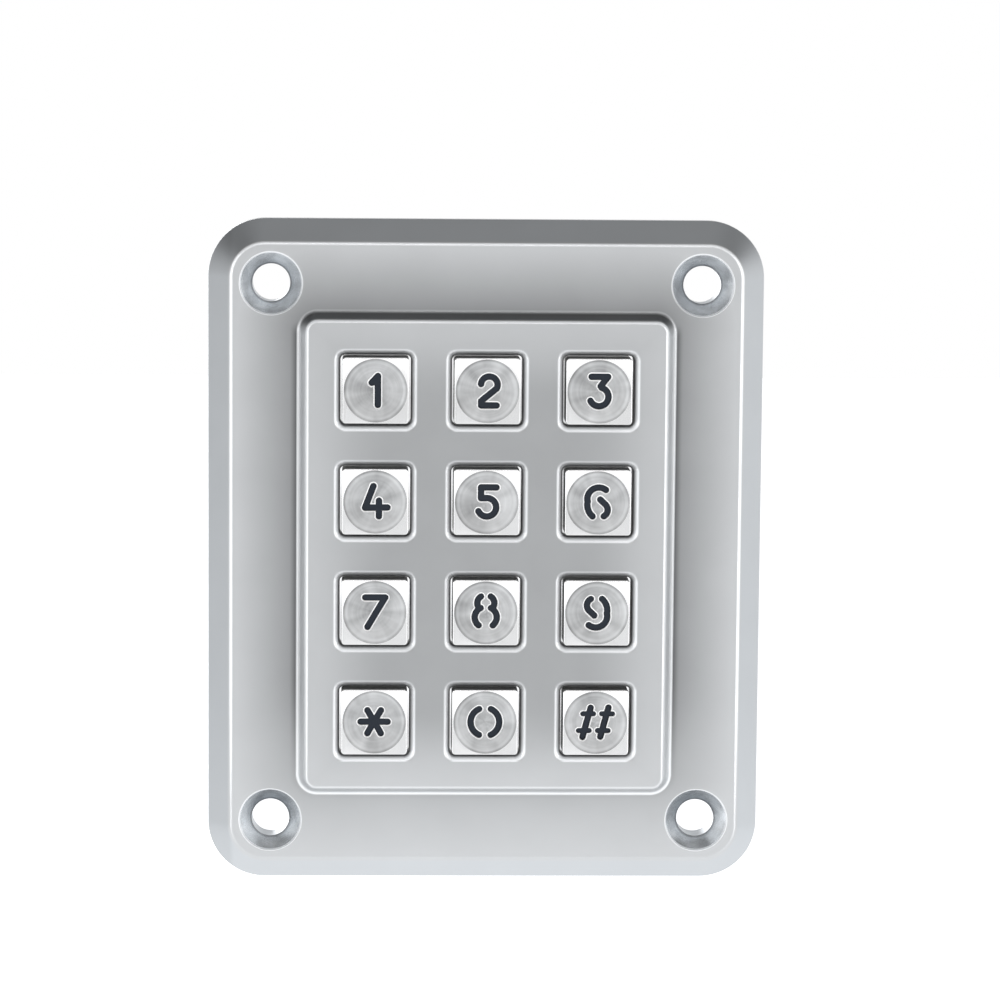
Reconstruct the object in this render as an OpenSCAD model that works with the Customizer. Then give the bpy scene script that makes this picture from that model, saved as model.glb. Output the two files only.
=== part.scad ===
// Metal keypad for an access reader: a die-cast front frame with twelve sprung metal keys,
// a rubber key mat, a circuit board and a rear cover.
// X runs across the front, Z runs up it and -Y points out of it, towards the user.
// The origin is the middle of the four mounting holes, on the rear face of the flange.

/* [Keys] */
// Distance between the middles of two keys next to each other
key_pitch = 17; // [15.2:0.1:21]
// Side of a key cap's square face
cap_w = 10.1; // [8.4:0.1:12.2]
// Corner radius of a key cap
cap_r = 0.5; // [0.3:0.05:1.5]
// Bevel round a key cap's face
cap_edge = 0.15; // [0.05:0.05:0.25]
// Height of a key cap above the raised panel at rest
cap_stand = 1.0; // [0.9:0.05:2]
// Metal above a key cap's hollow, measured at its corners
cap_wall = 1.3; // [1:0.05:1.6]
// Thickness of a key cap's side walls
cap_side = 1.0; // [0.7:0.05:1.4]
// Rim between a cap's edge and its round dish, at the middle of a side
dish_rim = 0.2; // [0.15:0.05:0.6]
// Depth of the dish at its middle
dish_depth = 0.4; // [0.2:0.05:0.5]
// Width of the dish's sloping side, round its flat floor
dish_slope = 1.4; // [0.8:0.1:1.8]
// How far a key's foot reaches past its cap on each side
foot_lip = 1.15; // [0.8:0.05:1.3]
// Thickness of a key's foot
foot_t = 1.0; // [0.7:0.1:1.4]
// How far a key travels when it is pressed
key_travel = 0.8; // [0.3:0.05:0.85]

/* [Figures] */
// Height of a figure on a key
figure_h = 5.5; // [4:0.1:6]
// Width of a figure's strokes
stroke_w = 1.0; // [0.7:0.05:1.2]
// How far the dark inserts lie below the middle of the dish
figure_recess = 0.25; // [0.1:0.05:0.4]

/* [Raised panel] */
// Height of the raised panel above the flange's face
panel_rise = 3.0; // [2:0.1:5]
// Distance from the outer windows to the foot of the raised panel
panel_border = 6.3; // [5:0.1:10]
// Corner radius at the foot of the raised panel
panel_r = 2.9; // [2:0.1:5]
// How far the raised panel's sides lean in from foot to top
panel_lean = 1.2; // [0.4:0.1:1.6]
// Thickness of the metal that the keys come through
panel_wall = 2.6; // [2:0.1:3]
// Gap between a key cap and its window
window_gap = 0.33; // [0.2:0.01:0.6]
// Width of the bevel round each window
window_lip = 0.6; // [0.3:0.05:0.9]

/* [Flange] */
// Distance from the foot of the raised panel to the flange's edge
flange_border = 14; // [13.4:0.1:24]
// Corner radius of the flange
flange_r = 8.8; // [6:0.1:12]
// Height of the flange's upright edge
edge_t = 2.4; // [2.2:0.1:4]
// Height of the sloping rim above the upright edge
rim_h = 4.0; // [2.6:0.1:6]
// Width of the sloping rim, seen from the front
rim_w = 3.6; // [2:0.1:4.4]

/* [Mounting holes] */
// Distance from a mounting hole's middle to each edge of the flange
hole_edge = 9.7; // [9.4:0.1:10]
// Diameter of a mounting hole
hole_d = 5.8; // [4.3:0.1:6.2]
// Diameter of a mounting hole's countersink
sink_d = 9.4; // [7:0.1:9.8]
// Straight step above the countersink's cone
sink_step = 0.4; // [0.2:0.1:0.8]

/* [Gasket and rear pockets] */
// Width of the flange gasket
gasket_w = 2.6; // [1.5:0.1:2.8]
// Thickness of the flange gasket as clamped
gasket_t = 1.8; // [1:0.1:2]
// Metal between the gasket's groove and the flange's edge
gasket_edge = 2.4; // [2:0.1:2.6]
// Width of the pockets cast into the flange's rear
core_w = 5.6; // [3:0.1:6]
// Metal left between a pocket and the flange's face
core_wall = 2.8; // [2.2:0.1:3.4]

/* [Rear housing] */
// Thickness of the wall that stands behind the flange
skirt_wall = 2.0; // [1.4:0.1:2.4]
// How far that wall reaches behind the flange
skirt_depth = 5.0; // [3:0.1:12]
// Room for a screw post between the keys' feet and the housing wall
post_space = 3.8; // [3.6:0.1:5]
// Diameter of a screw post
post_d = 4.2; // [3.6:0.1:4.4]
// Thickness of the rear cover
cover_t = 1.6; // [1:0.1:3]

/* [Circuit board and key mat] */
// Distance from the inner face of the raised panel to the circuit board
switch_depth = 3.9; // [3.8:0.1:6]
// Thickness of the circuit board
board_t = 1.6; // [1:0.1:2.4]
// Thickness of the contact pads
pad_t = 0.05; // [0.03:0.01:0.1]
// Diameter of the pair of contact pads under a key
pad_d = 5.2; // [4:0.1:6]
// Thickness of a contact pill
pill_t = 0.4; // [0.2:0.1:0.5]
// Diameter of a contact pill
pill_d = 4.4; // [3:0.1:5]
// Diameter of a rubber plunger
plunger_d = 7; // [5.5:0.1:7.4]
// Thickness of the key mat's sheet
mat_t = 1.0; // [0.6:0.1:1.1]
// Wall of the mat's domes
dome_wall = 0.4; // [0.2:0.05:0.6]
// Width of the mat's ribs between the keys
rib_w = 1.6; // [1:0.1:2]

/* [Cable header] */
// Number of pins in the header
header_pins_n = 8; // [5:1:9]
// Distance between two pins
header_pitch = 2.5; // [2:0.1:2.54]
// Height of the header above the circuit board
header_h = 7.0; // [6:0.1:9]
// Width of the header
header_w = 5.8; // [5:0.1:7]

/* [Screws] */
// Diameter of the board screws
board_screw_d = 2.0; // [1.6:0.1:2.2]
// Diameter of the cover screws
cover_screw_d = 2.4; // [2:0.1:2.6]

/* [Hidden] */
$fn = 96;
KEYS = ["1", "2", "3", "4", "5", "6", "7", "8", "9", "star", "0", "hash"];
COLUMNS = 3;
ROWS = 4;

// Clearances between pieces
insert_gap = 0.04;        // figure insert to key cap
dome_gap = 0.05;          // plunger to the dome round it
board_gap = 0.3;          // board and mat to the housing and its posts
groove_gap = 0.1;         // gasket to its groove
cover_gap = 0.3;          // header to the window in the cover
thread_gap = 0.02;        // screw shank to its pilot hole
clearance_gap = 0.2;      // screw shank to the hole it passes through
pin_gap = 0.03;           // header pin to its hole in the header's floor
head_gap = 0.2;           // board screw's head to the housing wall
dome_room = 0.1;          // pressed key to the top of its dome
rib_gap = 0.3;            // ends of the mat's ribs to the screw posts
pilot_spare = 0.5;        // depth of a pilot hole past its screw's tip
cut = 1;                  // how far a cutting tool runs past the face it opens

// Heights along the front's own normal, from the flange's rear face
face_z = edge_t + rim_h;
panel_z = face_z + panel_rise;
wall_z = panel_z - panel_wall;
cap_z = panel_z + cap_stand;
foot_z = wall_z - foot_t;
board_z = wall_z - switch_depth;
board_rear_z = board_z - board_t;
mat_z = board_z + mat_t;
pill_z = board_z + pad_t + key_travel;
plunger_z = pill_z + pill_t;
dome_z = foot_z - key_travel - dome_room;
cover_z = -skirt_depth;
cover_rear_z = cover_z - cover_t;

// Keys
window_w = cap_w + 2 * window_gap;
window_r = cap_r + window_gap;
foot_w = cap_w + 2 * foot_lip;
foot_r = 0.8;
hollow_w = cap_w - 2 * cap_side;
hollow_r = 0.6;
dish_r = cap_w / 2 - dish_rim;
grid_w = (COLUMNS - 1) * key_pitch;
grid_h = (ROWS - 1) * key_pitch;

// Outlines
panel_w = grid_w + window_w + 2 * panel_border;
panel_h = grid_h + window_w + 2 * panel_border;
flange_w = panel_w + 2 * flange_border;
flange_h = panel_h + 2 * flange_border;
pocket_w = grid_w + foot_w + 2 * post_space;
pocket_h = grid_h + foot_w + 2 * post_space;
pocket_r = 2;
skirt_w = pocket_w + 2 * skirt_wall;
skirt_h = pocket_h + 2 * skirt_wall;
skirt_r = pocket_r + skirt_wall;
gasket_out_w = flange_w - 2 * gasket_edge;
gasket_out_h = flange_h - 2 * gasket_edge;
gasket_out_r = flange_r - gasket_edge;
board_w = pocket_w - 2 * board_gap;
board_h = pocket_h - 2 * board_gap;
board_r = pocket_r - board_gap;
mat_edge = 1;
pad_split = 0.6;
mat_w = pocket_w - 2 * mat_edge;
mat_h = pocket_h - 2 * mat_edge;

// Mounting holes
hole_x = flange_w / 2 - hole_edge;
hole_y = flange_h / 2 - hole_edge;
sink_depth = (sink_d - hole_d) / 2;

// Pockets in the flange's rear, between the housing wall and the gasket
core_x = (skirt_w / 2 + gasket_out_w / 2 - gasket_w) / 2;
core_y = (skirt_h / 2 + gasket_out_h / 2 - gasket_w) / 2;
core_end = 12;
core_r = 1.5;

// Screw posts, sunk a little into the housing wall
post_sink = 0.2;
post_x = pocket_w / 2 - post_d / 2 + post_sink;
post_y = pocket_h / 2 - post_d / 2 + post_sink;
BOARD_POSTS = [for (x = [-1, 1], y = [-1, 0, 1]) [x * post_x, y * post_y]];
COVER_POSTS = [for (x = [-1, 1], y = [-1, 1]) [x * post_x, y * key_pitch]];
board_screw_hold = 3;
board_head_d = post_d - 2 * (post_sink + head_gap);
board_head_t = 1.2;
cover_screw_hold = 6;
cover_head_d = 4.4;
cover_head_t = 1.5;
slot_w = 0.5;
slot_share = 0.65;

// Cable header, between the two lower rows of keys
header_y = -key_pitch;
header_end = 2.45;
header_length = (header_pins_n - 1) * header_pitch + 2 * header_end;
header_wall = 0.8;
header_floor = 1.6;
header_key_w = 2;
pin_w = 0.64;
pin_tip = 1.2;
pin_hole_d = 1.0;

// Figures are drawn with a pen of width $pen, in units of half a figure's height
figure_unit = (figure_h - stroke_w) / 2;

function column_x(index) = (index % COLUMNS - (COLUMNS - 1) / 2) * key_pitch;
function row_y(index) = ((ROWS - 1) / 2 - floor(index / COLUMNS)) * key_pitch;

// ---- Shapes used by several pieces ----

// Turns a piece drawn face up into its upright place
module upright() {
    rotate([90, 0, 0]) children();
}

// Puts a piece at the place of the key with this index
module at_key(index) {
    translate([column_x(index), row_y(index), 0]) children();
}

module rounded(w, h, r) {
    square([w - 2 * r, h], center = true);
    square([w, h - 2 * r], center = true);
    for (x = [-1, 1], y = [-1, 1])
        translate([x * (w / 2 - r), y * (h / 2 - r)]) circle(r);
}

module slab(w, h, r, z0, z1) {
    translate([0, 0, z0]) linear_extrude(z1 - z0) rounded(w, h, r);
}

// A slab whose sides lean in by inset from z0 to z1, or out where inset is negative
module leaning_slab(w, h, r, inset, z0, z1) {
    rise = z1 - z0;
    translate([0, 0, z0]) {
        for (x = [-1, 1], y = [-1, 1])
            translate([x * (w / 2 - r), y * (h / 2 - r), 0]) cylinder(h = rise, r1 = r, r2 = r - inset);
        rotate([90, 0, 0]) linear_extrude(h - 2 * r, center = true) side_outline(w, inset, rise);
        rotate([90, 0, 90]) linear_extrude(w - 2 * r, center = true) side_outline(h, inset, rise);
    }
}

module side_outline(w, inset, rise) {
    polygon([[-w / 2, 0], [w / 2, 0], [w / 2 - inset, rise], [-w / 2 + inset, rise]]);
}

module ring_slab(w, h, r, wall, z0, z1) {
    difference() {
        slab(w, h, r, z0, z1);
        slab(w - 2 * wall, h - 2 * wall, r - wall, z0 - cut, z1 + cut);
    }
}

module post(z0, z1) {
    translate([0, 0, z0]) cylinder(h = z1 - z0, d = post_d);
}

// A pan head screw under a face at z = 0, with its shank up and a crossed slot in its head
module screw(d, length, head_d, head_t) {
    cylinder(h = length, d = d);
    difference() {
        translate([0, 0, -head_t]) cylinder(h = head_t, d = head_d);
        for (turn = [0, 90])
            rotate(turn) translate([0, 0, -head_t]) cube([slot_share * head_d, slot_w, head_t], center = true);
    }
}

// ---- Figures ----

// A straight stroke with round ends
module bar(from, to) {
    start = figure_unit * from;
    end = figure_unit * to;
    along = end - start;
    translate(start) circle(d = $pen);
    translate(end) circle(d = $pen);
    translate((start + end) / 2) rotate(atan2(along[1], along[0]))
        square([norm(along), $pen], center = true);
}

// A curved stroke with round ends, from one angle to a larger one
module bow(middle, radius, from, to) {
    r = figure_unit * radius;
    reach = 3 * r;
    steps = ceil((to - from) / 45);
    translate(figure_unit * middle) {
        intersection() {
            difference() {
                circle(r + $pen / 2);
                circle(r - $pen / 2);
            }
            polygon(concat([[0, 0]], [for (i = [0 : steps])
                let (turn = from + i * (to - from) / steps) reach * [cos(turn), sin(turn)]]));
        }
        for (turn = [from, to]) rotate(turn) translate([r, 0]) circle(d = $pen);
    }
}

module figure_1() {
    bar([0.15, 0.98], [0.15, -0.98]);
    bar([0.13, 0.95], [-0.27, 0.52]);
    bar([0.15, 0.62], [-0.27, 0.52]);
}

module figure_2() {
    bow([0.12, 0.42], 0.56, -25, 175);
    bar([0.63, 0.18], [-0.42, -0.68]);
    bar([-0.42, -0.68], [-0.42, -0.98]);
    bar([-0.42, -0.98], [0.62, -0.98]);
}

module figure_3() {
    bar([-0.52, 1.0], [0.6, 1.0]);
    bar([0.6, 1.0], [0.1, 0.36]);
    bow([0, -0.36], 0.64, -155, 75);
}

module figure_4() {
    bar([-0.12, 1.06], [-0.68, -0.42]);
    bar([-0.68, -0.42], [0.84, -0.4]);
    bar([0.26, 0.06], [0.26, -1.0]);
}

module figure_5() {
    bar([-0.38, 1.0], [0.66, 1.0]);
    bar([-0.38, 1.0], [-0.38, 0.26]);
    bar([-0.38, 0.26], [0.08, 0.27]);
    bow([0.02, -0.36], 0.63, -155, 85);
}

module figure_6() {
    bow([0.06, 0.24], 0.78, 52, 195);
    bow([0.34, -0.15], 1.06, 176, 229);
    bar([0.16, 0.2], [0.52, -0.14]);
    bow([0.17, -0.5], 0.5, -62, 46);
}

module figure_7() {
    bar([-0.64, 1.0], [0.72, 1.0]);
    bar([0.7, 0.98], [-0.48, -1.02]);
}

module figure_8() {
    for (side = [0, 1]) mirror([side, 0]) {
        bow([-0.05, 0.64], 0.53, 122, 215);
        bow([-0.05, -0.34], 0.7, 115, 232);
    }
}

module figure_9() {
    rotate(180) figure_6();
}

module figure_star() {
    for (turn = [0, 60, 120])
        rotate(turn) bar([-0.92, 0], [0.92, 0]);
}

module figure_0() {
    for (turn = [0, 180])
        rotate(turn) bow([0, 0], 0.98, -66, 66);
}

// Both halves lean the same way and don't meet, and their cross strokes are thinner
module figure_hash() {
    for (turn = [0, 180]) rotate(turn) {
        bar([0.88, 1.02], [0.34, -1.0]);
        $pen = 0.8 * $pen;
        bar([0.42, 0.58], [1.16, 0.58]);
        bar([0.14, -0.58], [0.87, -0.58]);
    }
}

module figure(key, pen) {
    $pen = pen;
    if (key == "1") figure_1();
    if (key == "2") figure_2();
    if (key == "3") figure_3();
    if (key == "4") figure_4();
    if (key == "5") figure_5();
    if (key == "6") figure_6();
    if (key == "7") figure_7();
    if (key == "8") figure_8();
    if (key == "9") figure_9();
    if (key == "star") figure_star();
    if (key == "0") figure_0();
    if (key == "hash") figure_hash();
}

// ---- Front frame ----

module frame_blank() {
    slab(flange_w, flange_h, flange_r, 0, edge_t);
    leaning_slab(flange_w, flange_h, flange_r, rim_w, edge_t, face_z);
    leaning_slab(panel_w, panel_h, panel_r, panel_lean, face_z, panel_z);
    slab(skirt_w, skirt_h, skirt_r, -skirt_depth, 0);
}

module key_window() {
    slab(window_w, window_w, window_r, wall_z - cut, panel_z + cut);
    leaning_slab(window_w, window_w, window_r, -2 * window_lip, panel_z - window_lip, panel_z + window_lip);
}

module mounting_hole() {
    cone_z = face_z - sink_step - sink_depth;
    translate([0, 0, -cut]) cylinder(h = face_z + 2 * cut, d = hole_d);
    translate([0, 0, cone_z]) cylinder(h = sink_depth, d1 = hole_d, d2 = sink_d);
    translate([0, 0, face_z - sink_step]) cylinder(h = sink_step + cut, d = sink_d);
}

module gasket_groove() {
    ring_slab(gasket_out_w + 2 * groove_gap, gasket_out_h + 2 * groove_gap, gasket_out_r + groove_gap,
        gasket_w + 2 * groove_gap, -cut, gasket_t);
}

module rear_cores() {
    core_z = face_z - core_wall;
    for (side = [-1, 1]) {
        translate([side * core_x, 0, 0])
            slab(core_w, 2 * (hole_y - core_end), core_r, -cut, core_z);
        translate([0, side * core_y, 0])
            slab(2 * (hole_x - core_end), core_w, core_r, -cut, core_z);
    }
}

module front_frame() {
    color("silver") upright() difference() {
        union() {
            difference() {
                frame_blank();
                slab(pocket_w, pocket_h, pocket_r, -skirt_depth - cut, wall_z);
            }
            for (place = BOARD_POSTS) translate(place) post(board_z, wall_z + cut);
            for (place = COVER_POSTS) translate(place) post(cover_z, wall_z + cut);
        }
        for (index = [0 : len(KEYS) - 1]) at_key(index) key_window();
        for (x = [-1, 1], y = [-1, 1]) translate([x * hole_x, y * hole_y, 0]) mounting_hole();
        for (place = BOARD_POSTS) translate([place[0], place[1], board_z - cut])
            cylinder(h = cut + board_screw_hold + pilot_spare, d = board_screw_d + 2 * thread_gap);
        for (place = COVER_POSTS) translate([place[0], place[1], cover_z - cut])
            cylinder(h = cut + cover_screw_hold + pilot_spare, d = cover_screw_d + 2 * thread_gap);
        gasket_groove();
        rear_cores();
    }
}

// ---- Keys ----

module cap_blank() {
    slab(foot_w, foot_w, foot_r, foot_z, wall_z);
    slab(cap_w, cap_w, cap_r, foot_z, cap_z - cap_edge);
    leaning_slab(cap_w, cap_w, cap_r, cap_edge, cap_z - cap_edge, cap_z);
}

module key_cap(index) {
    color("gainsboro") upright() at_key(index) difference() {
        cap_blank();
        slab(hollow_w, hollow_w, hollow_r, foot_z - cut, cap_z - cap_wall);
        translate([0, 0, cap_z - dish_depth])
            cylinder(h = dish_depth + cut, r1 = dish_r - dish_slope, r2 = dish_r + cut * dish_slope / dish_depth);
        translate([0, 0, cap_z - cap_wall - cut]) linear_extrude(cap_wall + 2 * cut)
            figure(KEYS[index], stroke_w);
    }
}

module key_legend(index) {
    insert_w = hollow_w - 2 * insert_gap;
    floor_z = cap_z - cap_wall - insert_gap;
    color("darkslategray") upright() at_key(index) {
        slab(insert_w, insert_w, hollow_r - insert_gap, foot_z, floor_z);
        translate([0, 0, floor_z]) linear_extrude(cap_z - dish_depth - figure_recess - floor_z)
            figure(KEYS[index], stroke_w - 2 * insert_gap);
    }
}

module key_plunger(index) {
    color("dimgray") upright() at_key(index)
        translate([0, 0, plunger_z]) cylinder(h = foot_z - plunger_z, d = plunger_d);
}

module contact_pill(index) {
    color("black") upright() at_key(index)
        translate([0, 0, pill_z]) cylinder(h = pill_t, d = pill_d);
}

// ---- Key mat and circuit board ----

// Room in the mat's sheet for the screw posts that stand beside it
module post_notches(z0, z1) {
    for (place = concat(BOARD_POSTS, COVER_POSTS)) translate([place[0], place[1], z0])
        cylinder(h = z1 - z0, d = post_d + 2 * board_gap);
}

module dome_skirt() {
    rise = dome_z - mat_z;
    inner_top = plunger_d / 2 + dome_gap;
    inner_base = inner_top + rise;
    difference() {
        translate([0, 0, mat_z]) cylinder(h = rise, r1 = inner_base + dome_wall, r2 = inner_top + dome_wall);
        translate([0, 0, mat_z]) cylinder(h = rise, r1 = inner_base, r2 = inner_top);
    }
}

module mat_ribs() {
    rib_reach_x = (grid_w + foot_w) / 2 - rib_gap;
    rib_reach_y = (grid_h + foot_w) / 2;
    for (x = [-0.5, 0.5]) translate([x * key_pitch, 0, (mat_z + wall_z) / 2])
        cube([rib_w, 2 * rib_reach_y, wall_z - mat_z], center = true);
    for (y = [-1, 0, 1]) translate([0, y * key_pitch, (mat_z + wall_z) / 2])
        cube([2 * rib_reach_x, rib_w, wall_z - mat_z], center = true);
}

module key_mat() {
    dome_hole_r = plunger_d / 2 + dome_gap + dome_z - mat_z;
    color("dimgray") upright() {
        difference() {
            slab(mat_w, mat_h, pocket_r, board_z, mat_z);
            for (index = [0 : len(KEYS) - 1]) at_key(index)
                translate([0, 0, board_z - cut]) cylinder(h = mat_t + 2 * cut, r = dome_hole_r);
            post_notches(board_z - cut, mat_z + cut);
        }
        for (index = [0 : len(KEYS) - 1]) at_key(index) dome_skirt();
        mat_ribs();
    }
}

module circuit_board() {
    color("darkgreen") upright() difference() {
        slab(board_w, board_h, board_r, board_rear_z, board_z);
        for (place = BOARD_POSTS) translate([place[0], place[1], board_rear_z - cut])
            cylinder(h = board_t + 2 * cut, d = board_screw_d + 2 * clearance_gap);
        for (place = COVER_POSTS) translate([place[0], place[1], board_rear_z - cut])
            cylinder(h = board_t + 2 * cut, d = post_d + 2 * board_gap);
        translate([0, header_y, board_rear_z - cut]) at_pins() cylinder(h = board_t + 2 * cut, d = pin_hole_d);
    }
}

module contact_pads() {
    color("goldenrod") upright() for (index = [0 : len(KEYS) - 1]) at_key(index) difference() {
        translate([0, 0, board_z]) cylinder(h = pad_t, d = pad_d);
        translate([-pad_split / 2, -pad_d, board_z - cut]) cube([pad_split, 2 * pad_d, 3 * cut]);
    }
}

module board_screws() {
    color("lightsteelblue") upright() for (place = BOARD_POSTS)
        translate([place[0], place[1], board_rear_z])
            screw(board_screw_d, board_t + board_screw_hold, board_head_d, board_head_t);
}

// ---- Cable header ----

module at_pins() {
    for (i = [0 : header_pins_n - 1])
        translate([(i - (header_pins_n - 1) / 2) * header_pitch, 0, 0]) children();
}

module header_shell() {
    mouth_z = board_rear_z - header_h;
    floor_z = board_rear_z - header_floor;
    color("ivory") upright() translate([0, header_y, 0]) difference() {
        translate([-header_length / 2, -header_w / 2, mouth_z]) cube([header_length, header_w, header_h]);
        translate([-header_length / 2 + header_wall, -header_w / 2 + header_wall, mouth_z - cut])
            cube([header_length - 2 * header_wall, header_w - 2 * header_wall, floor_z - mouth_z + cut]);
        for (side = [-1, 1])
            translate([side * header_length / 4 - header_key_w / 2, -header_w / 2 - cut, mouth_z - cut])
                cube([header_key_w, header_wall + 2 * cut, header_h - header_floor]);
        translate([0, 0, floor_z - cut]) at_pins() translate([0, 0, (header_floor + 2 * cut) / 2])
            cube([pin_w + 2 * pin_gap, pin_w + 2 * pin_gap, header_floor + 2 * cut], center = true);
    }
}

module header_pins() {
    tip_z = board_rear_z - header_h + pin_tip;
    color("gold") upright() translate([0, header_y, 0]) at_pins()
        translate([-pin_w / 2, -pin_w / 2, tip_z]) cube([pin_w, pin_w, board_z - tip_z]);
}

// ---- Rear cover and gasket ----

module rear_cover() {
    color("dimgray") upright() difference() {
        slab(skirt_w, skirt_h, skirt_r, cover_rear_z, cover_z);
        translate([0, header_y, (cover_z + cover_rear_z) / 2])
            cube([header_length + 2 * cover_gap, header_w + 2 * cover_gap, cover_t + 2 * cut], center = true);
        for (place = COVER_POSTS) translate([place[0], place[1], cover_rear_z - cut])
            cylinder(h = cover_t + 2 * cut, d = cover_screw_d + 2 * clearance_gap);
    }
}

module cover_screws() {
    color("lightsteelblue") upright() for (place = COVER_POSTS)
        translate([place[0], place[1], cover_rear_z])
            screw(cover_screw_d, cover_t + cover_screw_hold, cover_head_d, cover_head_t);
}

module flange_gasket() {
    color("black") upright()
        ring_slab(gasket_out_w, gasket_out_h, gasket_out_r, gasket_w, 0, gasket_t);
}

// ---- The keypad ----

front_frame();
for (index = [0 : len(KEYS) - 1]) {
    key_cap(index);
    key_legend(index);
    key_plunger(index);
    contact_pill(index);
}
key_mat();
circuit_board();
contact_pads();
board_screws();
header_shell();
header_pins();
rear_cover();
cover_screws();
flange_gasket();
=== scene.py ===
"""Looks of the metal keypad: its cast front frame, turned and polished keys, rear cover and lighting."""

import math

import bmesh
import bpy
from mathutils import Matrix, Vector


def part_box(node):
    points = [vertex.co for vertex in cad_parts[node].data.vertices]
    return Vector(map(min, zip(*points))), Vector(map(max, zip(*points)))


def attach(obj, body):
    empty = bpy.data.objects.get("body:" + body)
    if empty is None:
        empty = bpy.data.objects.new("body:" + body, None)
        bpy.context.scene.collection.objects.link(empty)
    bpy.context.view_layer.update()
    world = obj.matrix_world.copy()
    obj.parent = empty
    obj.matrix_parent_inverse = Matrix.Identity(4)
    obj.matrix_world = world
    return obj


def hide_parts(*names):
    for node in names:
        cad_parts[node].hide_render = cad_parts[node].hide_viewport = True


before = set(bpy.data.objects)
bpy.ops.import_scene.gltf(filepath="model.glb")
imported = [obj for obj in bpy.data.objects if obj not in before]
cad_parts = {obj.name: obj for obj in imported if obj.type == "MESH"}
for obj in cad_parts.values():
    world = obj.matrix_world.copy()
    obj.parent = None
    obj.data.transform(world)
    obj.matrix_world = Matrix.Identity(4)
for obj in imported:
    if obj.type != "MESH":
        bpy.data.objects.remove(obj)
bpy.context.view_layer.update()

MM = 0.001
KEYS = ["1", "2", "3", "4", "5", "6", "7", "8", "9", "star", "0", "hash"]

# ---- Sizes in millimetres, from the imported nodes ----

low, high = (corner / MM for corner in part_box("front_frame"))
FLANGE_W, FLANGE_H = high.x - low.x, high.z - low.z
PANEL_TOP = -low.y
SKIRT_END = -high.y
low, high = (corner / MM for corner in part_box("key_cap_5"))
FOOT_W, FOOT_BASE, CAP_TOP = high.x - low.x, -high.y, -low.y
low, high = (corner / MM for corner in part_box("key_legend_5"))
INSERT_W = high.x - low.x
low, high = (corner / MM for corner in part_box("rear_cover"))
COVER_W, COVER_H, COVER_END = high.x - low.x, high.z - low.z, -high.y
low, high = (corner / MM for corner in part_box("flange_gasket"))
GASKET_W, GASKET_H, GASKET_T = high.x - low.x, high.z - low.z, -low.y


def middle(node):
    """Middle of a node across the front and up it."""
    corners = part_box(node)
    return (corners[0].x + corners[1].x) / 2 / MM, (corners[0].z + corners[1].z) / 2 / MM


PITCH = middle("key_cap_6")[0] - middle("key_cap_5")[0]
EDGE_T, FLANGE_R, RIM_H, RIM_W = 2.4, 8.8, 4.0, 3.6
FACE = EDGE_T + RIM_H
CAP_W, CAP_R, CAP_WALL, CAP_SIDE = 10.1, 0.5, 1.3, 1.0
WINDOW_GAP, PANEL_BORDER, PANEL_R, PANEL_LEAN, PANEL_WALL = 0.33, 6.3, 2.9, 1.2, 2.6
WINDOW_W = CAP_W + 2 * WINDOW_GAP
PANEL_W = 2 * PITCH + WINDOW_W + 2 * PANEL_BORDER
PANEL_H = 3 * PITCH + WINDOW_W + 2 * PANEL_BORDER
HOLE_EDGE, HOLE_D, SINK_D, SINK_STEP = 9.7, 5.8, 9.4, 0.4
SKIRT_R, SKIRT_WALL = 4.0, 2.0
WALL_INNER = PANEL_TOP - PANEL_WALL
BOARD_FACE = -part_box("circuit_board")[0].y / MM
POST_D, POST_SINK = 4.2, 0.2
BOARD_PILOT_D, BOARD_PILOT_DEPTH = 2.04, 3.5
COVER_PILOT_D, COVER_PILOT_DEPTH = 2.44, 6.5
POST_X = COVER_W / 2 - SKIRT_WALL - POST_D / 2 + POST_SINK
POST_Z = COVER_H / 2 - SKIRT_WALL - POST_D / 2 + POST_SINK
BOARD_POSTS = [(x * POST_X, z * POST_Z) for x in (-1, 1) for z in (-1, 0, 1)]
COVER_POSTS = [(x * POST_X, z * PITCH) for x in (-1, 1) for z in (-1, 1)]
GASKET_BAND, GASKET_R, CORE_W, CORE_END, CORE_FLOOR = 2.6, 6.4, 5.6, 12.0, 3.6
DISH_R, DISH_DEPTH, DISH_STEP = 4.85, 0.4, 0.04
LIP, FOOT_FILLET = 0.95, 0.3
CREST_ROUND, EDGE_ROUND, REAR_ROUND, PANEL_ROUND, CAP_ROUND = 0.32, 0.22, 0.2, 0.38, 0.15
CORE_R, CORE_ROUND, GROOVE_GAP, GASKET_ROUND = 1.5, 0.8, 0.1, 0.35
FOOT_R, HOLLOW_R, NET, NET_LINES = 0.8, 0.6, 0.42, 11
COVER_BAND, COVER_SINK, BOSS_D, SCREW_WAY_D = 2.5, 0.35, 6.6, 2.8
PORT_GAP, SURROUND_BAND = 0.3, 1.2
COVER_SCREW_D, COVER_HEAD_D, COVER_HEAD_T, COVER_SCREW_L = 2.4, 4.4, 1.5, 7.6


# ---- Modelling ----

def alone(piece):
    """Selects one piece and nothing else."""
    if bpy.context.object and bpy.context.object.mode != "OBJECT":
        bpy.ops.object.mode_set(mode="OBJECT")
    bpy.ops.object.select_all(action="DESELECT")
    piece.select_set(True)
    bpy.context.view_layer.objects.active = piece
    return piece


def settled(name):
    """Names the new primitive and puts its place and size into its mesh."""
    piece = bpy.context.object
    piece.name = piece.data.name = name
    alone(piece)
    bpy.ops.object.transform_apply(location=True, rotation=True, scale=True)
    return piece


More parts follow.
